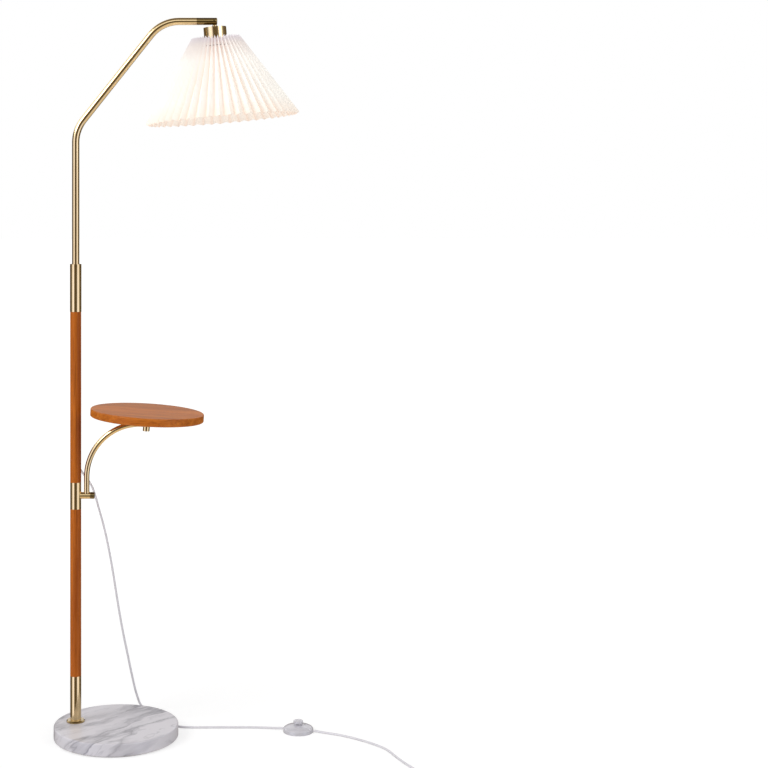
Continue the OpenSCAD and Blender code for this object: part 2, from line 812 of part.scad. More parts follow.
module cord_relief() {
    color("gainsboro") on_pole(exit_z) rotate([-90, 0, 0]) {
        translate([0, 0, pole_d / 2 - 4]) cylinder(d = relief_hole_d - 2 * slip, h = 4);
        translate([0, 0, pole_d / 2]) cylinder(d1 = cord_d + 4, d2 = cord_d + 1, h = relief_len);
    }
}

module cord_drop() {
    color("silver") swept_tube(drop_route, cord_d, 8);
}

module cord_tail() {
    color("silver") swept_tube(tail_route, cord_d, 8);
}

// Radius and height of the coil after a number of turns: the spiral runs in and out at one
// rate, and climbs a layer in the half turn where it reverses
function coil_r(t) = coil_outer_r - coil_pitch * min(t, coil_total - t);
function coil_height(t) = let (climb = min(max(t - coil_total / 2 + 0.25, 0), 0.5))
    coil_lift * (1 - cos(360 * climb)) / 2;
function coil_point(t) = [
    coil_at[0] - coil_r(t) * cos(360 * t),
    coil_at[1] - coil_r(t) * sin(360 * t),
    coil_z + coil_height(t)
];
coil_end = coil_point(coil_total);
plug_at = [coil_end[0], coil_end[1] - 2.4 * cord_d, plug_t / 2];
coil_path = concat(
    [[coil_at[0] - coil_outer_r, tail_route[len(tail_route) - 1][1], coil_z]],
    [for (i = [0 : coil_rings * coil_total]) coil_point(i / coil_rings)],
    [[coil_end[0], coil_end[1] - 1.2 * cord_d, plug_t / 2], plug_at]
);
// Least gap between stretches of the coil that lie a quarter turn or more apart
coil_gap = min([
    for (i = [0 : len(coil_path) - 1], j = [i + coil_rings / 4 : 1 : len(coil_path) - 1])
        norm(coil_path[i] - coil_path[j]) - cord_d
]);
function total_length(p) = [for (i = [1 : len(p) - 1]) norm(p[i] - p[i - 1])]
    * [for (i = [1 : len(p) - 1]) 1];
echo(coil_gap = coil_gap, coil_length = total_length(coil_path));
echo(drop_length = total_length(drop_route), tail_length = total_length(tail_route));

module cord_coil() {
    color("silver") swept_tube(coil_path, cord_d, 6);
}

// A strap round all the turns, at the side of the coil away from the plug
module coil_tie() {
    inner_r = coil_r(coil_total / 2) - cord_d / 2 - 0.5;
    outer_r = coil_outer_r + cord_d / 2 + 0.5;
    height = coil_lift + cord_d + 1;
    low = coil_z - cord_d / 2 - 0.1;
    color("black") translate([coil_at[0], coil_at[1], low]) rotate([90, 0, 0])
        linear_extrude(tie_w, center = true) difference() {
            translate([inner_r - tie_t, -tie_t])
                square([outer_r - inner_r + 2 * tie_t, height + 2 * tie_t]);
            translate([inner_r, 0]) square([outer_r - inner_r, height]);
        }
}

module switch_base() {
    color("silver") in_switch() difference() {
        cylinder(d = switch_d, h = switch_base_h);
        translate([0, 0, switch_wall])
            cylinder(d = switch_d - 2 * switch_wall - 2, h = switch_base_h);
        switch_ports();
        for (y = [-1, 1]) translate([0, y * switch_screw_y, -1])
            cylinder(d = switch_screw_d + 2 * slip, h = switch_base_h);
    }
}

// The two holes where the cord goes in and out
module switch_ports() {
    translate([0, 0, drop_route[len(drop_route) - 1][2]]) rotate([0, 90, 0])
        cylinder(d = cord_d + 0.6, h = 2 * switch_d, center = true);
}

module switch_cover() {
    crown = switch_h - switch_base_h;
    color("gainsboro") in_switch() translate([0, 0, switch_base_h]) difference() {
        dome(switch_d / 2, crown);
        translate([0, 0, -0.01]) dome(switch_d / 2 - switch_wall, crown - switch_wall);
        cylinder(d = button_stem_d + 2 * button_clear, h = crown + 1);
        translate([0, 0, -switch_base_h]) switch_ports();
    }
}

// A low dome: an ellipse's quarter turned about its axis
module dome(r, h) {
    quarter = [for (a = [0 : 7.5 : 90]) [r * cos(a), h * sin(a)]];
    rotate_extrude() polygon(concat([[0, 0]], quarter));
}

module switch_button() {
    stem = button_travel + 1.5;
    cap_z = button_travel + 0.5;
    color("lightgray") in_switch() translate([0, 0, switch_h]) {
        translate([0, 0, -stem]) cylinder(d = button_stem_d, h = stem + cap_z + 1);
        translate([0, 0, cap_z]) round_disc(button_d, button_proud - cap_z, 1.5);
    }
}

module switch_module() {
    color("dimgray") in_switch() translate([-11, -8, switch_wall])
        cube([22, 16, switch_h - button_travel - 1.8 - turn_gap - 2 * switch_wall]);
}

module switch_screws() {
    color("dimgray") in_switch() for (y = [-1, 1]) translate([0, y * switch_screw_y, 0.5])
        cylinder(d = switch_screw_d, h = switch_base_h);
}

module plug_body() {
    color("gainsboro") translate(plug_at) rotate([90, 0, 0]) {
        cylinder(d1 = cord_d + 1, d2 = cord_d + 4, h = relief_len);
        translate([0, 0, relief_len]) linear_extrude(plug_len) offset(r = 3, $fn = 32)
            square([plug_w - 6, plug_t - 6], center = true);
    }
}

module plug_blades() {
    color("silver") translate(plug_at) rotate([90, 0, 0])
        for (x = [-1, 1]) translate([x * 6.35 - 0.75, -3.175, relief_len + plug_len])
            cube([1.5, 6.35, 16]);
}

floor_pad();
base_slab();
base_washer();
base_screw();
base_flange();
foot_plug();
lower_sleeve();
lower_joiner();
lower_pole();
tee_joiner();
tee_sleeve();
stub_knob();
upper_pole();
upper_joiner();
upper_sleeve();
arm_bush();
sleeve_screw();
arm_tube();
inner_lead();
head_collar();
head_barrel();
barrel_screw();
tilt_pin();
tilt_tongue();
neck_washer();
socket_cup();
stem_nut();
lamp_socket();
shade_carrier();
carrier_ring_nut();
shade();
bulb_cap();
bulb_glass();
shelf_arm();
shelf_boss();
shelf_insert();
shelf_top();
cord_relief();
cord_drop();
switch_base();
switch_cover();
switch_button();
switch_module();
switch_screws();
cord_tail();
cord_coil();
coil_tie();
plug_body();
plug_blades();
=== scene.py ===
"""Dresses the bridge floor lamp: finishes for its metal, wood and stone, the pleated shade,
the smooth bent arms, the mains cord, and the studio that it stands in."""

import json
import math

import bmesh
import bpy
from bpy.props import (
    FloatProperty,
    FloatVectorProperty,
    IntProperty,
    PointerProperty,
)
from mathutils import Matrix, Vector


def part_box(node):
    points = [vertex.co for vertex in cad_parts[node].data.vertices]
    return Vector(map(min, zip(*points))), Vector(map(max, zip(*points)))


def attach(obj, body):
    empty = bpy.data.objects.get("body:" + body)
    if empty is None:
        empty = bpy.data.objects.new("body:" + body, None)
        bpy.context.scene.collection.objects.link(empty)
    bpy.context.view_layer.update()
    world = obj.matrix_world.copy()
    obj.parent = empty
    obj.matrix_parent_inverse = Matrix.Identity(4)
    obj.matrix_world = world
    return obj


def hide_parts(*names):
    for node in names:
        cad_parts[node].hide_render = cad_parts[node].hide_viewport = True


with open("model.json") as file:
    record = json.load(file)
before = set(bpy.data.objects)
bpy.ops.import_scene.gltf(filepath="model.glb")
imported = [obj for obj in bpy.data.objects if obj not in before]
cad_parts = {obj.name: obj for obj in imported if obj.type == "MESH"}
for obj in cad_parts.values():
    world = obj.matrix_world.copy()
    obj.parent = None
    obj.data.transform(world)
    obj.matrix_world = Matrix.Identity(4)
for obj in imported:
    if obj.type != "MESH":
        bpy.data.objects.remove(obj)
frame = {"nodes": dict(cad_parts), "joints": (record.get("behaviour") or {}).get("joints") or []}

bl_info = {
    "name": "Bridge Floor Lamp",
    "version": (1, 0, 0),
    "blender": (4, 5, 0),
    "location": "View3D > Sidebar > Lamp",
    "description": "Dresses a bridge floor lamp with its finishes, shade and cord",
    "category": "Add Mesh",
}

NODES = frame["nodes"]
JOINTS = {joint["name"]: joint for joint in frame["joints"]}
TILT_PIN = Vector(JOINTS["head_tilt"]["pos_m"])
POLE_LOW, POLE_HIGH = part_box("upper_pole")
POLE_AXIS = (POLE_LOW + POLE_HIGH) / 2

# Routes of the cord, in metres: listed points along the lie of the solid one
DROP_ROUTE = [
    (-0.090, 0.048, 0.578), (-0.090, 0.054, 0.578), (-0.089, 0.062, 0.576),
    (-0.086, 0.069, 0.570), (-0.080, 0.073, 0.560), (-0.070, 0.075, 0.546),
    (-0.061, 0.076, 0.530), (-0.054, 0.079, 0.508), (-0.047, 0.084, 0.480),
    (-0.038, 0.092, 0.443), (-0.028, 0.101, 0.392), (-0.019, 0.110, 0.335),
    (-0.010, 0.119, 0.270), (0.000, 0.128, 0.204), (0.012, 0.138, 0.138),
    (0.022, 0.147, 0.084), (0.031, 0.154, 0.044), (0.041, 0.158, 0.018),
    (0.054, 0.158, 0.005), (0.070, 0.153, 0.0030), (0.090, 0.141, 0.0025),
    (0.104, 0.120, 0.0025), (0.112, 0.099, 0.0025), (0.118, 0.081, 0.0025),
    (0.126, 0.067, 0.0025), (0.139, 0.0595, 0.0025), (0.158, 0.057, 0.0025),
    (0.180, 0.0565, 0.0025), (0.215, 0.057, 0.0025),
    (0.262, 0.057, 0.0025), (0.310, 0.056, 0.0025), (0.346, 0.0506, 0.003),
    (0.359, 0.0472, 0.004), (0.36512, 0.04554, 0.004),
]
TAIL_ROUTE = [
    (0.42888, 0.02846, 0.004), (0.435, 0.0268, 0.004), (0.448, 0.023, 0.003),
    (0.468, 0.015, 0.0025), (0.494, 0.001, 0.0025), (0.520, -0.018, 0.0025),
    (0.545, -0.040, 0.0025), (0.566, -0.062, 0.0025), (0.583, -0.086, 0.0025),
    (0.594, -0.112, 0.0025), (0.604, -0.140, 0.0025), (0.616, -0.168, 0.0025),
    (0.629, -0.195, 0.0025), (0.639, -0.222, 0.0026), (0.644, -0.246, 0.0032),
    (0.6448, -0.262, 0.0034), (0.6448, -0.267, 0.0034),
]
COIL_TURNS = 4
COIL_RADIUS = 0.0332
COIL_PITCH = 0.0056
COIL_MIDDLE = (TAIL_ROUTE[-1][0] + COIL_RADIUS, -0.272)
COIL_STEPS = 24
COIL_LEAD_OUT = (0.006, 0.012)

# Facets round a tube, the turn that one facet of a bend makes, and rows down a pleat
TUBE_FACETS = 64
BEND_STEP = math.radians(3)
PLEAT_ROWS = 12

# Noise lies almost wholly between these two values
NOISE_LOW = 0.3
NOISE_HIGH = 0.7

# The picture's width, the pixel that the level camera points at, and its focal length
PICTURE_PX = 768
LEVEL_POINT_PX = (286, 195.5)
CAMERA_FOCAL_PX = 1620
CAMERA_AT = (0.370, -3.530, 1.180)
SENSOR_MM = 36


def mm(length):
    """Millimetres to metres."""
    return length / 1000


def every(length):
    """The scale of a noise pattern that changes every so many millimetres."""
    return 1 / mm(length)


def linear(code):
    """An sRGB hex colour as linear red, green and blue."""
    channels = [int(code[i:i + 2], 16) / 255 for i in (0, 2, 4)]
    return [c / 12.92 if c <= 0.04045 else ((c + 0.055) / 1.055) ** 2.4 for c in channels]


def grey(value):
    """A linear grey."""
    return (value, value, value)


def dimmed(tone, share):
    """A colour with each channel cut to a share."""
    return [channel * share for channel in tone]


def colour(name, code, words):
    """A colour property whose default is an sRGB hex value."""
    return FloatVectorProperty(
        name=name, description=words, subtype="COLOR", size=3, min=0, max=1, default=linear(code)
    )


def size(name, default, words):
    """A length property in metres, given in millimetres."""
    return FloatProperty(
        name=name, description=words, default=mm(default), min=0, subtype="DISTANCE", unit="LENGTH"
    )


def angle(name, default, words):
    """An angle property in radians, given in degrees."""
    return FloatProperty(
        name=name, description=words, default=math.radians(default), subtype="ANGLE",
        unit="ROTATION",
    )


class LampSizes(bpy.types.PropertyGroup):
    """Sizes of the pieces that are modelled here."""

    arm_d: size("Arm diameter", 16, "Outer diameter of the bent arm")
    arm_wall: size("Arm wall", 1.2, "Wall of both arms' tubes")
    arm_bend: size("Arm bend", 80, "Centreline radius of the arm's bends")
    arm_slant: size("Arm slant", 302.4, "Distance between the arm's two corners")
    arm_lean: angle("Arm lean", 38.4, "Lean of the slanted stretch from the vertical")
    shelf_arm_d: size("Shelf arm diameter", 12, "Outer diameter of the shelf's arm")
    shelf_arm_bend: size("Shelf arm bend", 116, "Centreline radius of the shelf arm's curve")
    shelf_droop: angle("Shelf droop", 4, "Droop of the shelf arm's end below the level")
    shade_top: size("Shade top", 106, "Outer diameter of the shade's top edge")
    shade_hem: size("Shade hem", 337, "Outer diameter of the shade's hem")
    shade_height: size("Shade height", 177, "Height of the shade")
    shade_drop: size("Shade drop", 38, "Depth of the top edge below the tilt pin")
    pleat_side: size("Pleat side", 13, "Width of each side of a pleat")
    sheet: size("Sheet", 0.6, "Thickness of the shade's sheet")
    pleats: IntProperty(name="Pleats", description="Number of pleats", default=48, min=12)
    rest_tilt: angle("Rest tilt", 5, "Lean of the shade at rest")
    thread_d: size("Thread diameter", 1.6, "Diameter of the thread that gathers the pleats")
    thread_drop: size("Thread drop", 19, "Depth of the thread below the top edge")
    cord: size("Cord", 5, "Diameter of the mains cord")


class LampColours(bpy.types.PropertyGroup):
    """Colours of the finishes, as the eye sees them."""

    brass: colour("Brass", "D8C092", "Satin antique brass")
    brass_dark: colour("Brass shade", "CDB281", "Darker patches of the satin brass")
    # Painted shade: a darker brass for the level pieces and the flange, standing in for the darker
    # reflections they show
    brass_painted_shade: colour("Brass with painted shade", "85703F", "Darkened brass of the collar and barrel")
    steel: colour("Steel", "B9BBBD", "Zinc plated steel")
    marble: colour("Marble", "D3D0D6", "Pale ground of the marble")
    marble_vein: colour("Marble vein", "6A6873", "Grey veins of the marble")
    wood_light: colour("Wood light", "C66C1C", "Early wood under its stain")
    wood_dark: colour("Wood dark", "8C3E04", "Late wood under its stain")
    shelf_light: colour("Shelf light", "D27A28", "Light grain of the shelf")
    shelf_dark: colour("Shelf dark", "A85410", "Dark grain of the shelf")
    # Painted light: the shade's three tones stand in for the bulb's glow through the sheet, warmer
    # in the folds, and for painted shade at its unlit top edge
    shade_ridge_painted_glow: colour("Shade ridge", "FFFDFA", "Pleats lit through the sheet")
    shade_valley_painted_glow: colour("Shade valley", "FFF5ED", "Warm light in the folds")
    shade_edge_painted_shade: colour("Shade edge", "EEEBF1", "Unlit edge of the sheet")
    thread: colour("Thread", "B4AFB0", "Thread that gathers the pleats")
    cord: colour("Cord", "DEDCE2", "Silvery clear insulation")
    plastic: colour("Smoky plastic", "E2E0E7", "Foot switch and plug moulding")


# ---- Materials ----


def add(tree, kind, settings=None, stops=(), **inputs):
    """Adds a node with its settings and colour stops, and feeds its inputs. An input goes by its
    name or, as in _0, by its number, and gets a value, a socket or another node's first output."""
    node = tree.nodes.new(kind)
    for key, value in (settings or {}).items():
        setattr(node, key, value)
    if stops:
        elements = node.color_ramp.elements
        while len(elements) < len(stops):
            elements.new(0.5)
        for element, (position, tone) in zip(elements, stops):
            element.position = position
            element.color = (*tone, 1)
    for key, value in inputs.items():
        name = key.replace("_", " ").strip()
        socket = node.inputs[int(name)] if name.isdigit() else next(
            s for s in node.inputs if s.name == name and s.enabled
        )
        if isinstance(value, bpy.types.Node):
            value = next(s for s in value.outputs if s.enabled)
        if isinstance(value, bpy.types.NodeSocket):
            tree.links.new(value, socket)
        else:
            socket.default_value = value
    return node


def new_material(name):
    """A material with an empty node tree."""
    material = bpy.data.materials.new(name)
    material.use_nodes = True
    material.node_tree.nodes.clear()
    return material, material.node_tree


def on_piece(tree, scale=(1, 1, 1), turn=(0, 0, 0)):
    """Object coordinates, turned and scaled for a pattern."""
    where = add(tree, "ShaderNodeTexCoord").outputs["Object"]
    return add(tree, "ShaderNodeMapping", Vector=where, Rotation=turn, Scale=scale)


def satin_brass(name, light, dark, along=(1, 1, 1), rough=0.14):
    """Brass, polished, then lightly brushed and lacquered: crisp long reflections, fine hairlines
    along the piece, a slightly uneven warm tone and the lacquer's paler sheen. The hairlines of
    a brush are too fine to show, so they are drawn 2 mm apart."""
    material, tree = new_material(name)
    cloud = add(tree, "ShaderNodeTexNoise", Vector=on_piece(tree), Scale=every(125), Detail=2)
    tone = add(
        tree, "ShaderNodeValToRGB", stops=[(NOISE_LOW, dark), (NOISE_HIGH, light)], Fac=cloud
    )
    hairline = add(
        tree, "ShaderNodeTexNoise", Vector=on_piece(tree, along), Scale=every(2), Detail=2
    )
    roughness = add(
        tree, "ShaderNodeMapRange", Value=hairline, From_Min=NOISE_LOW, From_Max=NOISE_HIGH,
        To_Min=rough - 0.01, To_Max=rough + 0.02,
    )
    brushed = add(
        tree, "ShaderNodeBump", Height=hairline, Distance=mm(0.005), Strength=0.03
    )
    shader = add(
        tree, "ShaderNodeBsdfPrincipled", Base_Color=tone, Metallic=1.0, Roughness=roughness,
        Normal=brushed, Coat_Weight=0.7, Coat_Roughness=0.12,
    )
    add(tree, "ShaderNodeOutputMaterial", Surface=shader)
    return material


def plated_steel(colours):
    """Steel, zinc plated: bright, and slightly mottled by the zinc's crystals, which are drawn
    4.5 mm wide to show."""
    material, tree = new_material("zinc_plated_steel")
    speck = add(tree, "ShaderNodeTexNoise", Vector=on_piece(tree), Scale=every(4.5), Detail=3)
    tone = add(
        tree, "ShaderNodeValToRGB", Fac=speck,
        stops=[(NOISE_LOW, dimmed(colours.steel, 0.85)), (NOISE_HIGH, colours.steel)],
    )
    roughness = add(
        tree, "ShaderNodeMapRange", Value=speck, From_Min=NOISE_LOW, From_Max=NOISE_HIGH,
        To_Min=0.3, To_Max=0.45,
    )
    shader = add(
        tree, "ShaderNodeBsdfPrincipled", Base_Color=tone, Metallic=1.0, Roughness=roughness
    )
    add(tree, "ShaderNodeOutputMaterial", Surface=shader)
    return material


def honed_marble(colours):
    """Pale marble, honed and sealed: a cloudy ground with grey diagonal veins and a soft gloss.
    Broad veins lie about 100 mm apart and thin ones 38 mm, before they are drawn out along
    their run."""
    material, tree = new_material("honed_marble")
    turned = on_piece(tree, turn=(math.radians(-56), 0, math.radians(-31.8)))
    warp = add(
        tree, "ShaderNodeTexNoise", Vector=turned, Scale=every(111.1), Detail=5, Roughness=0.6
    )
    shifted = add(
        tree, "ShaderNodeVectorMath", {"operation": "MULTIPLY_ADD"},
        _0=warp.outputs["Color"], _1=grey(mm(35)), _2=turned,
    )
    stretched = add(tree, "ShaderNodeMapping", Vector=shifted, Scale=(0.22, 1.7, 0.4))
    broad = add(tree, "ShaderNodeTexNoise", Vector=stretched, Scale=every(100), Detail=4)
    fine = add(
        tree, "ShaderNodeTexNoise", Vector=stretched, Scale=every(38.46), Detail=4, Roughness=0.55
    )
    vein = add(tree, "ShaderNodeValToRGB", Fac=broad, stops=[
        (0.45, grey(0)), (0.485, grey(1)), (0.497, grey(0.5)), (0.56, grey(0)),
    ])
    thin = add(tree, "ShaderNodeValToRGB", Fac=fine, stops=[
        (0.46, grey(0)), (0.5, grey(0.35)), (0.52, grey(0)),
    ])
    veins = add(
        tree, "ShaderNodeMix", {"data_type": "RGBA", "blend_type": "SCREEN"},
        Factor=1.0, A=vein, B=thin,
    )
    spread = add(tree, "ShaderNodeTexNoise", Vector=turned, Scale=every(142.9), Detail=3)
    patches = add(
        tree, "ShaderNodeMapRange", Value=spread, From_Min=NOISE_LOW, From_Max=NOISE_HIGH,
        To_Min=0.3, To_Max=1.1,
    )
    amount = add(tree, "ShaderNodeMath", {"operation": "MULTIPLY"}, _0=veins, _1=patches)
    cloud = add(
        tree, "ShaderNodeTexNoise", Vector=stretched, Scale=every(166.7), Detail=5, Roughness=0.6
    )
    ground = add(tree, "ShaderNodeValToRGB", Fac=cloud, stops=[
        (NOISE_LOW, dimmed(colours.marble, 0.9)), (0.55, colours.marble),
    ])
    tone = add(
        tree, "ShaderNodeMix", {"data_type": "RGBA"},
        Factor=amount, A=ground, B=(*colours.marble_vein, 1),
    )
    grit = add(tree, "ShaderNodeTexNoise", Vector=turned, Scale=every(2.5), Detail=2)
    honed = add(tree, "ShaderNodeBump", Height=grit, Distance=mm(0.02), Strength=0.2)
    shader = add(
        tree, "ShaderNodeBsdfPrincipled", Base_Color=tone, Roughness=0.36, Normal=honed
    )
    add(tree, "ShaderNodeOutputMaterial", Surface=shader)
    return material


def stained_wood(name, light, dark, stretch):
    """Hardwood, turned, stained orange-brown and lacquered: grain along the piece, with small
    dark pores under a thin satin finish. Grain lines lie 18 mm apart and pores 3 mm before
    the stretch, coarser than in the wood, so that they show."""
    material, tree = new_material(name)
    along = on_piece(tree, stretch)
    grain = add(
        tree, "ShaderNodeTexNoise", Vector=along, Scale=every(18.18), Detail=6, Roughness=0.62
    )
    pores = add(tree, "ShaderNodeTexNoise", Vector=along, Scale=every(2.94), Detail=2)
    broad = add(tree, "ShaderNodeTexNoise", Vector=along, Scale=every(83.3), Detail=3)
    middle = [(a + b) / 2 for a, b in zip(light, dark)]
    tone = add(tree, "ShaderNodeValToRGB", Fac=grain, stops=[
        (NOISE_LOW, dark), (0.5, middle), (0.68, light),
    ])
    pore_dark = add(tree, "ShaderNodeValToRGB", Fac=pores, stops=[
        (0.36, grey(0.72)), (0.46, grey(1)),
    ])
    shaded = add(
        tree, "ShaderNodeMix", {"data_type": "RGBA", "blend_type": "MULTIPLY"},
        Factor=0.8, A=tone, B=pore_dark,
    )
    cloudy = add(tree, "ShaderNodeValToRGB", Fac=broad, stops=[
        (0.35, grey(0.86)), (0.65, grey(1)),
    ])
    final = add(
        tree, "ShaderNodeMix", {"data_type": "RGBA", "blend_type": "MULTIPLY"},
        Factor=1.0, A=shaded, B=cloudy,
    )
    lines = add(tree, "ShaderNodeBump", Height=grain, Distance=mm(0.05), Strength=0.25)
    shader = add(
        tree, "ShaderNodeBsdfPrincipled", Base_Color=final, Roughness=0.36, Normal=lines,
        Specular_IOR_Level=0.16,
    )
    add(tree, "ShaderNodeOutputMaterial", Surface=shader)
    return material


def moulded(name, tone, rough=0.4, see_through=0.0):
    """Vinyl, ABS, foam or waxed thread, moulded or drawn: an even colour that clouds slightly
    every 25 mm, with a gloss that hardly varies."""
    material, tree = new_material(name)
    cloud = add(tree, "ShaderNodeTexNoise", Vector=on_piece(tree), Scale=every(25), Detail=2)
    shades = add(tree, "ShaderNodeValToRGB", Fac=cloud, stops=[
        (NOISE_LOW, dimmed(tone, 0.97)), (NOISE_HIGH, tone),
    ])
    roughness = add(
        tree, "ShaderNodeMapRange", Value=cloud, From_Min=NOISE_LOW, From_Max=NOISE_HIGH,
        To_Min=rough - 0.04, To_Max=rough + 0.04,
    )
    shader = add(
        tree, "ShaderNodeBsdfPrincipled", Base_Color=shades, Roughness=roughness,
        Transmission_Weight=see_through,
    )
    add(tree, "ShaderNodeOutputMaterial", Surface=shader)
    return material


def glazed_porcelain():
    """Porcelain, glazed: off-white, with a clear wet gloss."""
    material, tree = new_material("glazed_porcelain")
    cloud = add(tree, "ShaderNodeTexNoise", Vector=on_piece(tree), Scale=every(16.7), Detail=2)
    tone = add(tree, "ShaderNodeValToRGB", Fac=cloud, stops=[
        (NOISE_LOW, linear("E9E6DC")), (NOISE_HIGH, linear("F4F1E8")),
    ])
    shader = add(tree, "ShaderNodeBsdfPrincipled", Base_Color=tone, Roughness=0.15)
    add(tree, "ShaderNodeOutputMaterial", Surface=shader)
    return material


def frosted_lit_glass():
    """Bulb glass, frosted and lit from within: an even warm white glow. The frost is drawn 2 mm
    wide."""
    material, tree = new_material("frosted_lit_glass")
    frost = add(tree, "ShaderNodeTexNoise", Vector=on_piece(tree), Scale=every(2), Detail=2)
    tone = add(tree, "ShaderNodeValToRGB", Fac=frost, stops=[
        (NOISE_LOW, linear("FFFAF3")), (NOISE_HIGH, linear("FFFCF8")),
    ])
    shader = add(
        tree, "ShaderNodeBsdfPrincipled", Base_Color=tone, Roughness=0.35, Emission_Color=tone,
        Emission_Strength=1.3,
    )
    add(tree, "ShaderNodeOutputMaterial", Surface=shader)
    return material


def laminated_textile(colours):
    """White textile laminated on a stiff film and folded, with a faint thread texture. Its glow is
    painted: an emission in a tone painted brighter on the ridges, warmer in the folds and at the
    hem and dimmer at the top edge, and the same tone tints the light let through. Threads are
    drawn 0.7 mm apart, about twice as coarse as they are woven."""
    material, tree = new_material("laminated_textile")
    fold = add(tree, "ShaderNodeAttribute", {"attribute_name": "fold"}).outputs["Fac"]
    drop = add(tree, "ShaderNodeAttribute", {"attribute_name": "drop"}).outputs["Fac"]
    # Painted glow across the pleats: bright on the ridges, warmer in the folds
    across = add(tree, "ShaderNodeValToRGB", Fac=fold, stops=[
        (0.0, colours.shade_ridge_painted_glow), (0.45, colours.shade_ridge_painted_glow), (1.0, colours.shade_valley_painted_glow),
    ])
    # Painted shade and glow down the sheet: dimmer at the top edge, warmer at the hem
    down = add(tree, "ShaderNodeValToRGB", Fac=drop, stops=[
        (0.0, colours.shade_edge_painted_shade), (0.1, linear("F8F5F5")), (0.3, linear("FFFFFF")),
        (0.8, linear("FFFFFE")), (1.0, linear("FFFAF5")),
    ])
    tone = add(
        tree, "ShaderNodeMix", {"data_type": "RGBA", "blend_type": "MULTIPLY"},
        Factor=1.0, A=across, B=down,
    )
    cloth = add(
        tree, "ShaderNodeMix", {"data_type": "RGBA", "blend_type": "MULTIPLY"},
        Factor=1.0, A=tone, B=(*grey(0.78), 1),
    )
    thread = add(
        tree, "ShaderNodeTexNoise", Vector=on_piece(tree, (1, 1, 0.25)), Scale=every(0.7), Detail=2
    )
    weave = add(tree, "ShaderNodeBump", Height=thread, Distance=mm(0.05), Strength=0.08)
    # The emission paints the glow of the sheet as if it were lit from within
    front = add(
        tree, "ShaderNodeBsdfPrincipled", Base_Color=cloth, Roughness=0.75, Emission_Color=tone,
        Emission_Strength=0.27, Specular_IOR_Level=0.2, Normal=weave,
    )
    through = add(tree, "ShaderNodeBsdfTranslucent", Color=tone)
    shader = add(tree, "ShaderNodeMixShader", Fac=0.3, _1=front, _2=through)
    add(tree, "ShaderNodeOutputMaterial", Surface=shader)
    return material


# ---- Meshes ----


def finish_piece(name, bm, material, body, replaced=(), smooth=30):
    """Turns a bmesh into a piece that rides a body and stands for its CAD nodes."""
    mesh = bpy.data.meshes.new(name)
    bm.to_mesh(mesh)
    bm.free()
    if smooth:
        mesh.shade_smooth()
        mesh.set_sharp_from_angle(angle=math.radians(smooth))
    piece = bpy.data.objects.new(name, mesh)
    bpy.context.scene.collection.objects.link(piece)
    mesh.materials.append(material)
    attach(piece, body)
    if replaced:
        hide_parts(*replaced)
    return piece


def paint(material, *names):
    """Gives CAD nodes a material in place of the one they came with."""
    for name in names:
        mesh = NODES[name].data
        mesh.materials.clear()
        mesh.materials.append(material)


def circle(bm, radius, matrix, segments):
    """A new loop of edges round a circle."""
    verts = bmesh.ops.create_circle(
        bm, cap_ends=False, radius=radius, segments=segments, matrix=matrix
    )["verts"]
    return edges_between(verts)


def edges_between(verts):
    """The edges whose two ends are both among the given vertices."""
    chosen = set(verts)
    found = dict.fromkeys(edge for v in verts for edge in v.link_edges)
    return [e for e in found if e.verts[0] in chosen and e.verts[1] in chosen]


def ends_of(edges):
    """The vertices of some edges, each once."""
    return list(dict.fromkeys(v for e in edges for v in e.verts))


def push(bm, edges, offset):
    """Extrudes a loop of edges along an offset and returns the new loop."""
    made = bmesh.ops.extrude_edge_only(bm, edges=edges)["geom"]
    verts = [v for v in made if isinstance(v, bmesh.types.BMVert)]
    bmesh.ops.translate(bm, verts=verts, vec=offset)
    return edges_between(verts)


def turn_loop(bm, edges, centre, turn):
    """Spins a loop of edges about a level axis, from +Z towards +X, and returns the last loop."""
    made = bmesh.ops.spin(
        bm, geom=edges + ends_of(edges), cent=centre, axis=(0, 1, 0), angle=turn,
        steps=max(8, round(turn / BEND_STEP)), use_merge=False,
    )["geom_last"]
    return [g for g in made if isinstance(g, bmesh.types.BMEdge)]


def bent_pipe(start, runs, diameter, wall):
    """A round pipe that starts upwards and bends towards +X: each run is a straight length,
    then the radius and angle of the bend after it."""
    bm = bmesh.new()
    at, lean = Vector(start), 0.0
    loop = circle(bm, diameter / 2, Matrix.Translation(at), TUBE_FACETS)
    for length, radius, turn in runs:
        along = Vector((math.sin(lean), 0, math.cos(lean)))
        loop = push(bm, loop, along * length)
        at = at + along * length
        if not turn:
            break
        inward = Vector((math.cos(lean), 0, -math.sin(lean)))
        centre = at + inward * radius
        loop = turn_loop(bm, loop, centre, turn)
        at = centre + Matrix.Rotation(turn, 3, "Y") @ (at - centre)
        lean += turn
    bmesh.ops.remove_doubles(bm, verts=bm.verts, dist=1e-6)
    bmesh.ops.recalc_face_normals(bm, faces=bm.faces)
    bmesh.ops.solidify(bm, geom=bm.faces, thickness=wall)
    return bm


# ---- Operators ----


class LampPiece(bpy.types.Operator):
    """Base of the operators that make or dress pieces"""

    bl_options = {"REGISTER", "UNDO"}

    @property
    def sizes(self):
        return bpy.context.scene.lamp_sizes

    @property
    def colours(self):
        return bpy.context.scene.lamp_colours


class DressFoot(LampPiece):
    """Marble slab and its foam pad"""

    bl_idname = "lamp.foot"
    bl_label = "Foot"

    def execute(self, context):
        paint(honed_marble(self.colours), "base_slab")
        paint(moulded("closed_cell_foam", linear("2A2A2C"), 0.8), "floor_pad")
        return {"FINISHED"}


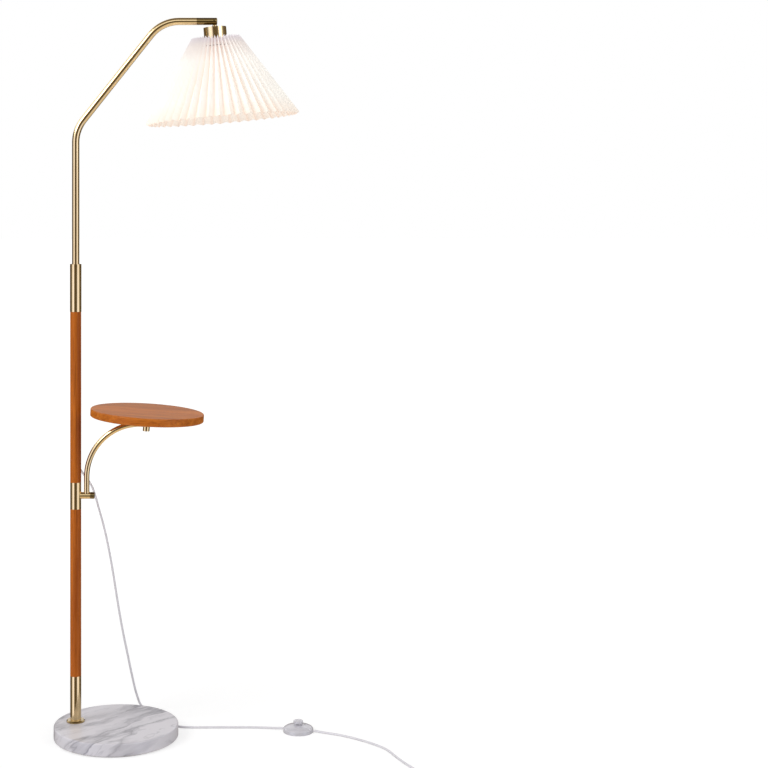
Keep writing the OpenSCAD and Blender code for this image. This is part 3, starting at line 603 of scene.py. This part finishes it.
class DressMetal(LampPiece):
    """Brass sleeves, joints and flange, and the steel inside"""

    bl_idname = "lamp.metal"
    bl_label = "Metalwork"

    def execute(self, context):
        light, dark, painted_dim = self.colours.brass, self.colours.brass_dark, self.colours.brass_painted_shade
        sleeves = satin_brass("satin_brass_upright", light, dark, (1, 1, 0.02))
        # Painted shade: the level pieces and the flange get darker copies of the brass, for the
        # darker reflections they show
        joints = satin_brass("satin_brass_level_painted_shade", painted_dim, dimmed(painted_dim, 0.7), (0.02, 1, 1))
        turned = satin_brass("turned_brass", light, dark, rough=0.2)
        flange = satin_brass("turned_brass_painted_shade", dark, painted_dim, rough=0.2)
        paint(sleeves, "lower_sleeve", "tee_sleeve", "upper_sleeve", "socket_cup", "shelf_boss")
        paint(joints, "head_collar", "head_barrel", "tilt_pin", "stub_knob")
        paint(turned, "tilt_tongue", "neck_washer")
        paint(flange, "base_flange")
        paint(
            plated_steel(self.colours), "base_washer", "base_screw", "foot_plug", "lower_joiner",
            "tee_joiner", "upper_joiner", "arm_bush", "sleeve_screw", "barrel_screw",
            "stem_nut", "shade_carrier", "shelf_insert", "switch_screws", "plug_blades", "bulb_cap",
        )
        return {"FINISHED"}


class DressWood(LampPiece):
    """Wooden poles and shelf"""

    bl_idname = "lamp.wood"
    bl_label = "Woodwork"

    def execute(self, context):
        tones = self.colours
        upright, across = (1, 1, 0.045), (0.06, 1, 1)
        poles = stained_wood("stained_pole_wood", tones.wood_light, tones.wood_dark, upright)
        shelf = stained_wood("stained_shelf_wood", tones.shelf_light, tones.shelf_dark, across)
        paint(poles, "lower_pole", "upper_pole")
        paint(shelf, "shelf_top")
        return {"FINISHED"}


class MakeArms(LampPiece):
    """The bent lamp arm and the shelf's curved arm, each one smooth tube"""

    bl_idname = "lamp.arms"
    bl_label = "Bent arms"

    def execute(self, context):
        light, dark = self.colours.brass, self.colours.brass_dark
        arm_brass = satin_brass("satin_brass_arm", light, dark, (1, 1, 0.1))
        self.make_lamp_arm(self.sizes, arm_brass)
        self.make_shelf_arm(self.sizes, arm_brass)
        return {"FINISHED"}

    def make_lamp_arm(self, s, brass):
        """The arm up the pole's axis, over two corners to its level end."""
        low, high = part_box("arm_tube")
        low_trim = s.arm_bend * math.tan(s.arm_lean / 2)
        top_turn = math.pi / 2 - s.arm_lean
        top_trim = s.arm_bend * math.tan(top_turn / 2)
        corner_z = TILT_PIN.z - s.arm_slant * math.cos(s.arm_lean)
        corner_x = POLE_AXIS.x + s.arm_slant * math.sin(s.arm_lean)
        runs = [
            (corner_z - low_trim - low.z, s.arm_bend, s.arm_lean),
            (s.arm_slant - low_trim - top_trim, s.arm_bend, top_turn),
            (high.x - corner_x - top_trim, 0, 0),
        ]
        bm = bent_pipe((POLE_AXIS.x, POLE_AXIS.y, low.z), runs, s.arm_d, s.arm_wall)
        finish_piece("bent_arm", bm, brass, "stand", ["arm_tube"], smooth=40)

    def make_shelf_arm(self, s, brass):
        """The shelf's arm, curved a little past the level, and straight for at least 1 mm."""
        low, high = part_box("shelf_arm")
        foot_x = low.x + s.shelf_arm_d / 2
        crown = high.z - s.shelf_arm_d / 2
        turn = math.pi / 2 + s.shelf_droop
        tip_x = foot_x + s.shelf_arm_bend * (1 - math.cos(turn))
        straight = (high.x - tip_x) / math.cos(s.shelf_droop)
        runs = [
            (crown - s.shelf_arm_bend - low.z, s.shelf_arm_bend, turn),
            (max(straight, mm(1)), 0, 0),
        ]
        bm = bent_pipe((foot_x, POLE_AXIS.y, low.z), runs, s.shelf_arm_d, s.arm_wall)
        finish_piece("curved_shelf_arm", bm, brass, "shelf", ["shelf_arm"], smooth=40)


def fold_radii(s, share):
    """Ridge and valley radius at a share of the shade's height from its top edge."""
    half = math.pi / s.pleats
    ridge = (s.shade_top + (s.shade_hem - s.shade_top) * share) / 2
    valley = ridge * math.cos(half) - math.sqrt(s.pleat_side ** 2 - (ridge * math.sin(half)) ** 2)
    return ridge, valley


def fold_sway(index):
    """How far a fold strays sideways at the hem, as a share of a pleat's side."""
    return 0.10 * math.sin(2.3 * index) + 0.07 * math.sin(5.1 * index + 1)


class MakeShade(LampPiece):
    """The pleated shade and the thread that gathers it"""

    bl_idname = "lamp.shade"
    bl_label = "Shade"

    def execute(self, context):
        head = Matrix.Translation(TILT_PIN) @ Matrix.Rotation(-self.sizes.rest_tilt, 4, "Y")
        self.make_sheet(self.sizes, head)
        self.make_thread(self.sizes, head)
        return {"FINISHED"}

    def make_sheet(self, s, head):
        """The folded sheet, row by row, with its edges cut square to the shade's slant."""
        slant = math.atan((s.shade_hem - s.shade_top) / 2 / s.shade_height)
        bm = bmesh.new()
        fold = bm.verts.layers.float.new("fold")
        drop = bm.verts.layers.float.new("drop")
        loop = circle(bm, 1, Matrix.Identity(4), 2 * s.pleats)
        for row in range(PLEAT_ROWS + 1):
            if row:
                loop = push(bm, loop, Vector((0, 0, 0)))
            share = row / PLEAT_ROWS
            ridge, valley = fold_radii(s, share)
            lift = (ridge - valley) * math.sin(slant) / 2
            for v in ends_of(loop):
                index = round(math.atan2(v.co.y, v.co.x) / math.pi * s.pleats) % (2 * s.pleats)
                radius, rise = (valley, -lift) if index % 2 else (ridge, lift)
                turn = math.pi * (index + fold_sway(index) * share) / s.pleats
                v.co = Vector((
                    radius * math.cos(turn), radius * math.sin(turn),
                    rise - s.shade_drop - s.shade_height * share,
                ))
                v[fold] = index % 2
                v[drop] = share
        bmesh.ops.recalc_face_normals(bm, faces=bm.faces)
        bmesh.ops.transform(bm, matrix=head, verts=bm.verts)
        shade = finish_piece(
            "pleated_shade", bm, laminated_textile(self.colours), "head",
            ["shade"], smooth=0,
        )
        wall = shade.modifiers.new("Sheet", "SOLIDIFY")
        wall.thickness = s.sheet
        wall.offset = -1
        wall.use_even_offset = True

    def make_thread(self, s, head):
        """A ring of thread through the pleats, a third of the way from valley to ridge."""
        ridge, valley = fold_radii(s, s.thread_drop / s.shade_height)
        radius = valley + 0.35 * (ridge - valley)
        bm = bmesh.new()
        at = Matrix.Translation((radius, 0, -s.shade_drop - s.thread_drop))
        upright = Matrix.Rotation(math.pi / 2, 4, "X")
        loop = circle(bm, s.thread_d / 2, at @ upright, 8)
        bmesh.ops.spin(
            bm, geom=loop + ends_of(loop), cent=(0, 0, 0), axis=(0, 0, 1),
            angle=2 * math.pi, steps=2 * s.pleats, use_merge=True,
        )
        bmesh.ops.recalc_face_normals(bm, faces=bm.faces)
        bmesh.ops.transform(bm, matrix=head, verts=bm.verts)
        waxed = moulded("waxed_thread", self.colours.thread, 0.6)
        finish_piece("gather_thread", bm, waxed, "head")


class DressBulb(LampPiece):
    """Lamp socket, ring nut and lit bulb"""

    bl_idname = "lamp.bulb"
    bl_label = "Socket and bulb"

    def execute(self, context):
        paint(glazed_porcelain(), "lamp_socket", "carrier_ring_nut")
        paint(frosted_lit_glass(), "bulb_glass")
        return {"FINISHED"}


def cord_curve(name, points, diameter, material):
    """A smooth round cord through the points, as one open spline."""
    curve = bpy.data.curves.new(name, "CURVE")
    curve.dimensions = "3D"
    curve.bevel_depth = diameter / 2
    curve.bevel_resolution = 4
    curve.resolution_u = 4
    curve.use_fill_caps = True
    spline = curve.splines.new("BEZIER")
    spline.bezier_points.add(len(points) - 1)
    for bezier, point in zip(spline.bezier_points, points):
        bezier.co = point
        bezier.handle_left_type = bezier.handle_right_type = "AUTO"
    cord = bpy.data.objects.new(name, curve)
    bpy.context.scene.collection.objects.link(cord)
    curve.materials.append(material)
    return cord


def coil_point(turn):
    """A point of the coil after a number of turns: in on the floor, then out one layer up."""
    radius = COIL_RADIUS - COIL_PITCH * min(turn, COIL_TURNS - turn)
    climb = min(max(turn - COIL_TURNS / 2 + 0.25, 0), 0.5)
    height = COIL_PITCH * (1 - math.cos(2 * math.pi * climb)) / 2
    angle_round = 2 * math.pi * turn
    return (
        COIL_MIDDLE[0] - radius * math.cos(angle_round),
        COIL_MIDDLE[1] - radius * math.sin(angle_round),
        TAIL_ROUTE[-1][2] + height,
    )


class MakeCords(LampPiece):
    """Mains cord, its foot switch, coil and plug"""

    bl_idname = "lamp.cords"
    bl_label = "Cord and foot switch"

    def execute(self, context):
        s = self.sizes
        vinyl = moulded("clear_vinyl_cord", self.colours.cord, 0.32)
        smoky = moulded("smoky_moulding", self.colours.plastic, 0.25, 0.25)
        black = moulded("black_moulding", linear("17171A"), 0.5)
        drop = cord_curve("hanging_cord", DROP_ROUTE, s.cord, vinyl)
        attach(drop, "stand")
        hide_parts("cord_drop")
        coil = [coil_point(i / COIL_STEPS) for i in range(COIL_STEPS * COIL_TURNS + 1)]
        end_x, end_y, end_z = coil[-1]
        lead_out = [(end_x, end_y - step, end_z) for step in COIL_LEAD_OUT]
        route = TAIL_ROUTE + coil + lead_out
        tail = cord_curve("floor_cord", route, s.cord, vinyl)
        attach(tail, "stand")
        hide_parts("cord_tail", "cord_coil")
        paint(vinyl, "cord_relief", "inner_lead")
        paint(smoky, "switch_base", "switch_cover", "switch_button", "plug_body")
        paint(black, "switch_module", "coil_tie")
        return {"FINISHED"}


class SetStage(LampPiece):
    """Floor, studio light and camera"""

    bl_idname = "lamp.stage"
    bl_label = "Stage"

    def execute(self, context):
        scene = context.scene
        scene.view_settings.view_transform = "Standard"
        self.make_floor(scene)
        self.make_world(scene)
        self.make_lights(scene)
        self.make_camera(scene)
        return {"FINISHED"}

    def make_floor(self, scene):
        """A seamless floor of pale paper, which the camera sees brightened towards white."""
        bm = bmesh.new()
        bmesh.ops.create_grid(bm, x_segments=1, y_segments=1, size=40)
        mesh = bpy.data.meshes.new("studio_floor")
        bm.to_mesh(mesh)
        bm.free()
        floor = bpy.data.objects.new("studio_floor", mesh)
        scene.collection.objects.link(floor)
        material, tree = new_material("seamless_paper")
        paper = add(tree, "ShaderNodeBsdfDiffuse", Color=(*grey(0.9), 1))
        where = add(tree, "ShaderNodeNewGeometry").outputs["Position"]
        away = add(tree, "ShaderNodeVectorMath", {"operation": "LENGTH"}, _0=where)
        lift = add(
            tree, "ShaderNodeMapRange", Value=away, From_Min=0.3, From_Max=2.5,
            To_Min=1.18, To_Max=1.5,
        )
        white = add(tree, "ShaderNodeEmission", Color=(*grey(1), 1), Strength=lift)
        ray = add(tree, "ShaderNodeLightPath")
        seen = add(
            tree, "ShaderNodeMath", {"operation": "MULTIPLY"},
            _0=ray.outputs["Is Camera Ray"], _1=0.55,
        )
        surface = add(tree, "ShaderNodeMixShader", Fac=seen, _1=paper, _2=white)
        add(tree, "ShaderNodeOutputMaterial", Surface=surface)
        mesh.materials.append(material)
        floor.visible_glossy = False

    def make_world(self, scene):
        """White to the camera and through glass, soft grey light, and a studio of bright
        panels and dark gaps for the metal to reflect."""
        world = bpy.data.worlds.new("studio")
        scene.world = world
        world.use_nodes = True
        tree = world.node_tree
        tree.nodes.clear()
        where = add(tree, "ShaderNodeTexCoord").outputs["Generated"]
        split = add(tree, "ShaderNodeSeparateXYZ", Vector=where)
        turn = add(
            tree, "ShaderNodeMath", {"operation": "ARCTAN2"},
            _0=split.outputs["X"], _1=split.outputs["Y"],
        )
        around = add(
            tree, "ShaderNodeMapRange", Value=turn, From_Min=-math.pi, From_Max=math.pi
        )
        rise = add(tree, "ShaderNodeMath", {"operation": "ARCSINE"}, _0=split.outputs["Z"])
        height = add(
            tree, "ShaderNodeMapRange", Value=rise, From_Min=-math.pi / 2, From_Max=math.pi / 2
        )
        umber, tan, cream = (0.15, 0.115, 0.065), (0.3, 0.25, 0.17), (1.6, 1.64, 2.0)
        sideways = add(tree, "ShaderNodeValToRGB", Fac=around, stops=[
            (0.0, umber), (0.05, umber), (0.09, cream), (0.16, cream),
            (0.2, grey(0.5)), (0.25, umber), (0.5, umber), (0.74, umber),
            (0.79, grey(1.1)), (0.83, cream), (0.87, cream), (0.91, grey(0.4)), (0.93, umber),
        ])
        upward = add(tree, "ShaderNodeValToRGB", Fac=height, stops=[
            (0.0, (1.0, 0.85, 0.65)), (0.25, (1.1, 0.94, 0.73)), (0.36, grey(0.7)),
            (0.56, grey(1.6)), (0.68, grey(1.5)), (0.78, tan), (1.0, umber),
        ])
        level = add(tree, "ShaderNodeValToRGB", Fac=height, stops=[
            (0.30, grey(0)), (0.37, grey(1)), (0.565, grey(1)), (0.61, grey(0)),
        ])
        panels = add(
            tree, "ShaderNodeMix", {"data_type": "RGBA"}, Factor=level, A=upward, B=sideways
        )
        soft = add(tree, "ShaderNodeBackground", Color=(*grey(1), 1), Strength=0.62)
        studio = add(tree, "ShaderNodeBackground", Color=panels, Strength=1.0)
        white = add(tree, "ShaderNodeBackground", Color=(*grey(1), 1), Strength=1.0)
        ray = add(tree, "ShaderNodeLightPath")
        lit = add(
            tree, "ShaderNodeMixShader", Fac=ray.outputs["Is Glossy Ray"], _1=soft, _2=studio
        )
        clear = add(
            tree, "ShaderNodeMath", {"operation": "MAXIMUM"},
            _0=ray.outputs["Is Camera Ray"], _1=ray.outputs["Is Transmission Ray"],
        )
        final = add(tree, "ShaderNodeMixShader", Fac=clear, _1=lit, _2=white)
        add(tree, "ShaderNodeOutputWorld", Surface=final)

    def make_lights(self, scene):
        """Two square soft lights, in front on the left and on the right."""
        for name, spot, aim, width, power in [
            ("key", (-2.4, -2.0, 2.8), (0.1, 0, 0.8), 1.6, 66),
            ("fill", (2.6, -1.6, 2.2), (0.1, 0, 0.7), 1.6, 16),
        ]:
            light = bpy.data.lights.new(name, "AREA")
            light.size = width
            light.energy = power
            lamp = bpy.data.objects.new(name, light)
            lamp.location = spot
            lamp.rotation_euler = (Vector(aim) - Vector(spot)).to_track_quat("-Z", "Y").to_euler()
            scene.collection.objects.link(lamp)

    def make_camera(self, scene):
        """A level camera, with its frame shifted so that uprights stay upright."""
        data = bpy.data.cameras.new("view")
        data.sensor_width = SENSOR_MM
        data.lens = SENSOR_MM * CAMERA_FOCAL_PX / PICTURE_PX
        data.shift_x = (PICTURE_PX / 2 - LEVEL_POINT_PX[0]) / PICTURE_PX
        data.shift_y = (LEVEL_POINT_PX[1] - PICTURE_PX / 2) / PICTURE_PX
        camera = bpy.data.objects.new("view", data)
        camera.location = CAMERA_AT
        camera.rotation_euler = (math.pi / 2, 0, 0)
        scene.collection.objects.link(camera)
        scene.camera = camera


class LampPanel(bpy.types.Panel):
    """Lists the steps that dress the lamp, its sizes and its colours"""

    bl_idname = "VIEW3D_PT_lamp"
    bl_label = "Bridge Floor Lamp"
    bl_space_type = "VIEW_3D"
    bl_region_type = "UI"
    bl_category = "Lamp"

    def draw(self, context):
        for step in STEPS:
            self.layout.operator(step.bl_idname)
        for group in (context.scene.lamp_sizes, context.scene.lamp_colours):
            for key in group.__annotations__:
                self.layout.prop(group, key)


STEPS = [SetStage, MakeCords, DressFoot, DressMetal, DressWood, MakeArms, MakeShade, DressBulb]
CLASSES = [LampSizes, LampColours, *STEPS, LampPanel]


def register():
    for cls in CLASSES:
        bpy.utils.register_class(cls)
    bpy.types.Scene.lamp_sizes = PointerProperty(type=LampSizes)
    bpy.types.Scene.lamp_colours = PointerProperty(type=LampColours)


def unregister():
    del bpy.types.Scene.lamp_colours
    del bpy.types.Scene.lamp_sizes
    for cls in reversed(CLASSES):
        bpy.utils.unregister_class(cls)


def main():
    """Dresses the lamp step by step."""
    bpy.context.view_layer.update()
    register()
    for step in STEPS:
        group, name = step.bl_idname.split(".")
        getattr(getattr(bpy.ops, group), name)()


if __name__ == "__main__":
    main()
